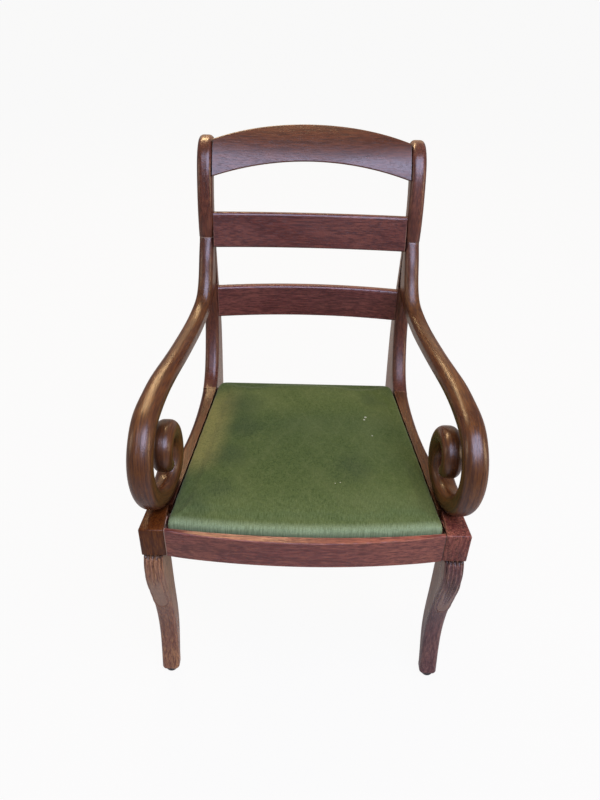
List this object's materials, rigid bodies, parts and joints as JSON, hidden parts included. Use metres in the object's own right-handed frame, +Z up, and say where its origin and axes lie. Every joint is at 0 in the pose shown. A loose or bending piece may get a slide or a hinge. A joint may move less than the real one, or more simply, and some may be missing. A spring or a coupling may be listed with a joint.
{
  "type": "scroll arm armchair",
  "caption": "Open mahogany armchair with arched crest rail, slatted back, arms rolled into large scrolls, curved front legs and a drop-in velvet seat.",
  "frame": {"origin": "on the floor under the middle of the chair's bounding box", "axes": "+Z up, -Y towards the front of the seat, +X to the right as seen from the front"},
  "size_m": [0.5704, 0.6348, 0.9244],
  "materials": {
    "mahogany": "polished",
    "beech": "sawn",
    "screw_steel": "satin",
    "blued_steel": "matte",
    "glide_iron": "satin",
    "webbing": "woven",
    "hessian": "woven",
    "stuffing": "matte",
    "velvet": "pile"
  },
  "bodies": {
    "frame": {"arm_lap_pegs": "beech", "back_left_corner_block": "beech", "back_left_glide": "glide_iron", "back_right_corner_block": "beech", "back_right_glide": "glide_iron", "back_seat_rail": "mahogany", "corner_block_screws": "screw_steel", "crest_rail": "mahogany", "front_left_corner_block": "beech", "front_left_glide": "glide_iron", "front_left_leg": "mahogany", "front_rail": "mahogany", "front_right_corner_block": "beech", "front_right_glide": "glide_iron", "front_right_leg": "mahogany", "left_arm": "mahogany", "left_arm_foot_dowel": "beech", "left_back_post": "mahogany", "left_side_rail": "mahogany", "lower_slat": "mahogany", "middle_slat": "mahogany", "right_arm": "mahogany", "right_arm_foot_dowel": "beech", "right_back_post": "mahogany", "right_side_rail": "mahogany"},
    "seat": {"seat_frame_front": "beech", "seat_frame_back": "beech", "seat_frame_left": "beech", "seat_frame_right": "beech", "lengthwise_webbing": "webbing", "crosswise_webbing": "webbing", "hessian": "hessian", "seat_pad": "stuffing", "seat_cover": "velvet", "cover_tacks": "blued_steel"}
  },
  "joints": [
    {"name": "seat_lift", "type": "slide", "parent": "frame", "child": "seat", "axis": [0, 0, 1], "range_m": [0, 0.035]}
  ]
}
